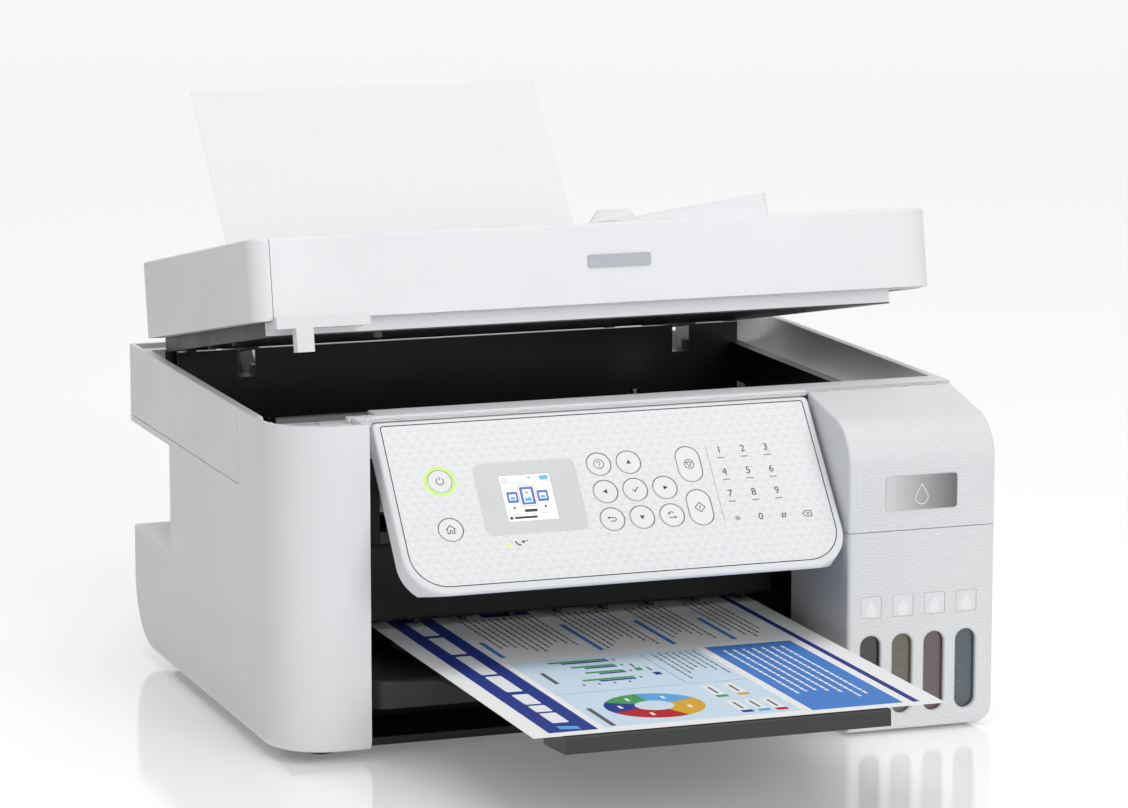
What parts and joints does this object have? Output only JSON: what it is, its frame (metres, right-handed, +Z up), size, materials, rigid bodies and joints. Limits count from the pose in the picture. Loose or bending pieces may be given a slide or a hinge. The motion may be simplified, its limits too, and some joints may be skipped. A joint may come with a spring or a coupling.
{
  "type": "inkjet printer",
  "caption": "Tank-type inkjet all-in-one printer with lifting scanner, document feeder, tilting control panel, refillable ink tanks and pull-out tray.",
  "frame": {"origin": "bottom centre of the whole printer's bounding box, on the plane of the feet", "axes": "+X to the printer's right as seen by its user, +Y to its back, +Z up"},
  "size_m": [0.375, 0.5986, 0.2963],
  "materials": {
    "white_shell": "satin moulded ABS with a fine grain",
    "white_frame": "satin moulded ABS",
    "black_plastic": "fine grained black ABS",
    "dark_tray": "satin dark grey ABS",
    "tank_clear": "translucent moulded polypropylene",
    "cap_black": "soft moulded cap",
    "cap_yellow": "soft moulded cap",
    "cap_magenta": "soft moulded cap",
    "cap_cyan": "soft moulded cap",
    "foot_rubber": "soft rubber",
    "steel": "zinc plated sheet steel",
    "screw_steel": "zinc plated steel",
    "roller_rubber": "ground rubber on a steel shaft",
    "belt_rubber": "toothed rubber belt",
    "pulley_plastic": "natural acetal",
    "motor_steel": "plated steel can",
    "circuit_board": "solder-masked glass fibre board",
    "supply_black": "matt black moulding",
    "glass": "clear float glass",
    "panel_white": "printed satin overlay",
    "display": "black framed display",
    "key_white": "moulded key",
    "key_green": "moulded key",
    "key_orange": "moulded key",
    "paper": "uncoated office paper"
  },
  "bodies": {
    "printer_body": {"base_chassis": "black_plastic", "rubber_feet": "foot_rubber", "case_screws": "screw_steel", "left_side_cover": "white_shell", "upper_left_panel": "white_shell", "rear_housing": "white_shell", "front_rim": "white_shell", "opening_frame": "white_frame", "tank_lower_cover": "white_shell", "ink_tank_unit": "tank_clear", "main_frame": "steel", "platen": "black_plastic", "exit_roller_holder": "black_plastic", "rear_feed_housing": "black_plastic", "main_board": "circuit_board", "power_supply": "supply_black", "maintenance_station": "black_plastic", "timing_belt": "belt_rubber", "carriage_motor": "motor_steel", "output_tray": "dark_tray"},
    "scanner": {"scanner_case": "black_plastic", "scanner_glass": "glass"},
    "scan_bar": {"cis_carriage": "black_plastic"},
    "document_lid": {"document_cover": "white_shell", "adf_side_cover": "white_shell"},
    "feeder_cover": {"adf_cover": "white_shell"},
    "feeder_tray": {"adf_input_tray": "white_shell"},
    "feeder_guide": {"adf_edge_guide": "white_frame"},
    "feeder_roller": {"adf_roller": "roller_rubber"},
    "panel": {"panel_frame": "white_shell", "panel_overlay": "panel_white", "lcd_display": "display"},
    "key_power": {"button_power": "key_white"},
    "key_home": {"button_home": "key_white"},
    "key_help": {"button_help": "key_white"},
    "key_up": {"button_up": "key_white"},
    "key_left": {"button_left": "key_white"},
    "key_ok": {"button_ok": "key_white"},
    "key_right": {"button_right": "key_white"},
    "key_back": {"button_back": "key_white"},
    "key_down": {"button_down": "key_white"},
    "key_swap": {"button_swap": "key_white"},
    "key_stop": {"button_stop": "key_orange"},
    "key_start": {"button_start": "key_green"},
    "tank_door": {"tank_lid": "white_shell"},
    "cap_black": {"tank_cap_black": "cap_black"},
    "cap_yellow": {"tank_cap_yellow": "cap_yellow"},
    "cap_magenta": {"tank_cap_magenta": "cap_magenta"},
    "cap_cyan": {"tank_cap_cyan": "cap_cyan"},
    "print_carriage": {"carriage": "black_plastic"},
    "drive_pulley_body": {"drive_pulley": "pulley_plastic"},
    "idler_pulley_body": {"idler_pulley": "pulley_plastic"},
    "feed_roller_body": {"feed_roller": "roller_rubber"},
    "exit_roller_body": {"exit_roller": "roller_rubber"},
    "pick_roller_body": {"pick_roller": "roller_rubber"},
    "tray": {"tray_extension": "dark_tray"},
    "sheet_support": {"paper_support": "black_plastic"},
    "sheet_guide": {"edge_guide": "black_plastic"},
    "printed_page": {"printed_sheet": "paper"},
    "blank_pages": {"blank_paper": "paper"}
  },
  "joints": [
    {"name": "scanner_hinge", "type": "hinge", "parent": "printer_body", "child": "scanner", "pos_m": [0, 0.17225, 0.1674], "axis": [-1, 0, 0], "range_deg": [-10.7, 20]},
    {"name": "scan_bar_slide", "type": "slide", "parent": "scanner", "child": "scan_bar", "axis": [1, 0, 0], "range_m": [0, 0.3]},
    {"name": "document_lid_hinge", "type": "hinge", "parent": "scanner", "child": "document_lid", "pos_m": [0, 0.13983, 0.18431], "axis": [-1, 0, 0], "range_deg": [0, 60]},
    {"name": "feeder_cover_hinge", "type": "hinge", "parent": "document_lid", "child": "feeder_cover", "pos_m": [-0.1685, 0.14629, 0.21851], "axis": [0, -0.9826, 0.1857], "range_deg": [0, 75]},
    {"name": "feeder_tray_hinge", "type": "hinge", "parent": "document_lid", "child": "feeder_tray", "pos_m": [0.0095, 0.14629, 0.21851], "axis": [0, -0.9826, 0.1857], "range_deg": [-8.1, 0]},
    {"name": "feeder_guide_slide", "type": "slide", "parent": "feeder_tray", "child": "feeder_guide", "axis": [0, 0.9826, -0.1857], "range_m": [-0.012, 0.052]},
    {"name": "feeder_roller_spin", "type": "hinge", "parent": "document_lid", "child": "feeder_roller", "pos_m": [-0.03, 0.14447, 0.20888], "axis": [0, 0.9826, -0.1857], "continuous": true},
    {"name": "panel_hinge", "type": "hinge", "parent": "printer_body", "child": "panel", "pos_m": [0, -0.09946, 0.1623], "axis": [-1, 0, 0], "range_deg": [-13, 23]},
    {"name": "press_power", "type": "slide", "parent": "panel", "child": "key_power", "axis": [0, -0.7782, 0.628], "range_m": [-0.0006, 0], "stiffness_N_per_m": 300, "springref_m": 0.0015},
    {"name": "press_home", "type": "slide", "parent": "panel", "child": "key_home", "axis": [0, -0.7782, 0.628], "range_m": [-0.0006, 0], "stiffness_N_per_m": 300, "springref_m": 0.0015},
    {"name": "press_help", "type": "slide", "parent": "panel", "child": "key_help", "axis": [0, -0.7782, 0.628], "range_m": [-0.0006, 0], "stiffness_N_per_m": 300, "springref_m": 0.0015},
    {"name": "press_up", "type": "slide", "parent": "panel", "child": "key_up", "axis": [0, -0.7782, 0.628], "range_m": [-0.0006, 0], "stiffness_N_per_m": 300, "springref_m": 0.0015},
    {"name": "press_left", "type": "slide", "parent": "panel", "child": "key_left", "axis": [0, -0.7782, 0.628], "range_m": [-0.0006, 0], "stiffness_N_per_m": 300, "springref_m": 0.0015},
    {"name": "press_ok", "type": "slide", "parent": "panel", "child": "key_ok", "axis": [0, -0.7782, 0.628], "range_m": [-0.0006, 0], "stiffness_N_per_m": 300, "springref_m": 0.0015},
    {"name": "press_right", "type": "slide", "parent": "panel", "child": "key_right", "axis": [0, -0.7782, 0.628], "range_m": [-0.0006, 0], "stiffness_N_per_m": 300, "springref_m": 0.0015},
    {"name": "press_back", "type": "slide", "parent": "panel", "child": "key_back", "axis": [0, -0.7782, 0.628], "range_m": [-0.0006, 0], "stiffness_N_per_m": 300, "springref_m": 0.0015},
    {"name": "press_down", "type": "slide", "parent": "panel", "child": "key_down", "axis": [0, -0.7782, 0.628], "range_m": [-0.0006, 0], "stiffness_N_per_m": 300, "springref_m": 0.0015},
    {"name": "press_swap", "type": "slide", "parent": "panel", "child": "key_swap", "axis": [0, -0.7782, 0.628], "range_m": [-0.0006, 0], "stiffness_N_per_m": 300, "springref_m": 0.0015},
    {"name": "press_stop", "type": "slide", "parent": "panel", "child": "key_stop", "axis": [0, -0.7782, 0.628], "range_m": [-0.0006, 0], "stiffness_N_per_m": 300, "springref_m": 0.0015},
    {"name": "press_start", "type": "slide", "parent": "panel", "child": "key_start", "axis": [0, -0.7782, 0.628], "range_m": [-0.0006, 0], "stiffness_N_per_m": 300, "springref_m": 0.0015},
    {"name": "tank_door_hinge", "type": "hinge", "parent": "printer_body", "child": "tank_door", "pos_m": [0.1465, -0.10025, 0.1666], "axis": [-1, 0, 0], "range_deg": [0, 95]},
    {"name": "cap_black_hinge", "type": "hinge", "parent": "printer_body", "child": "cap_black", "pos_m": [0.1184, -0.10075, 0.096], "axis": [-1, 0, 0], "range_deg": [0, 100]},
    {"name": "cap_yellow_hinge", "type": "hinge", "parent": "printer_body", "child": "cap_yellow", "pos_m": [0.1362, -0.10075, 0.096], "axis": [-1, 0, 0], "range_deg": [0, 100]},
    {"name": "cap_magenta_hinge", "type": "hinge", "parent": "printer_body", "child": "cap_magenta", "pos_m": [0.154, -0.10075, 0.096], "axis": [-1, 0, 0], "range_deg": [0, 100]},
    {"name": "cap_cyan_hinge", "type": "hinge", "parent": "printer_body", "child": "cap_cyan", "pos_m": [0.1718, -0.10075, 0.096], "axis": [-1, 0, 0], "range_deg": [0, 100]},
    {"name": "carriage_slide", "type": "slide", "parent": "printer_body", "child": "print_carriage", "axis": [1, 0, 0], "range_m": [-0.18, 0]},
    {"name": "drive_pulley_spin", "type": "hinge", "parent": "printer_body", "child": "drive_pulley_body", "pos_m": [0.126, 0.05325, 0.125], "axis": [0, -1, 0], "range_deg": [-1480, 10]},
    {"name": "idler_pulley_spin", "type": "hinge", "parent": "printer_body", "child": "idler_pulley_body", "pos_m": [-0.15, 0.05325, 0.125], "axis": [0, -1, 0], "range_deg": [-1480, 10]},
    {"name": "feed_roller_spin", "type": "hinge", "parent": "printer_body", "child": "feed_roller_body", "pos_m": [0, 0.06225, 0.047], "axis": [1, 0, 0], "continuous": true},
    {"name": "exit_roller_spin", "type": "hinge", "parent": "printer_body", "child": "exit_roller_body", "pos_m": [0, -0.03475, 0.0465], "axis": [1, 0, 0], "continuous": true},
    {"name": "pick_roller_spin", "type": "hinge", "parent": "printer_body", "child": "pick_roller_body", "pos_m": [-0.01, 0.10982, 0.11441], "axis": [1, 0, 0], "continuous": true},
    {"name": "tray_slide", "type": "slide", "parent": "printer_body", "child": "tray", "axis": [0, 0.9981, -0.061], "range_m": [0, 0.15]},
    {"name": "sheet_support_slide", "type": "slide", "parent": "printer_body", "child": "sheet_support", "axis": [0, -0.682, -0.7314], "range_m": [0, 0.09]},
    {"name": "sheet_guide_slide", "type": "slide", "parent": "printer_body", "child": "sheet_guide", "axis": [1, 0, 0], "range_m": [-0.008, 0]},
    {"name": "printed_page_slide", "type": "slide", "parent": "printer_body", "child": "printed_page", "axis": [0, -1, 0], "range_m": [0, 0.1]},
    {"name": "blank_pages_slide", "type": "slide", "parent": "printer_body", "child": "blank_pages", "axis": [0, 0.682, 0.7314], "range_m": [0, 0.12]}
  ],
  "couplings": [
    {"joint": "drive_pulley_spin", "follows": "carriage_slide", "rad_per_m": 142.86},
    {"joint": "idler_pulley_spin", "follows": "carriage_slide", "rad_per_m": 142.86},
    {"joint": "exit_roller_spin", "follows": "feed_roller_spin", "ratio": 1.1864}
  ]
}
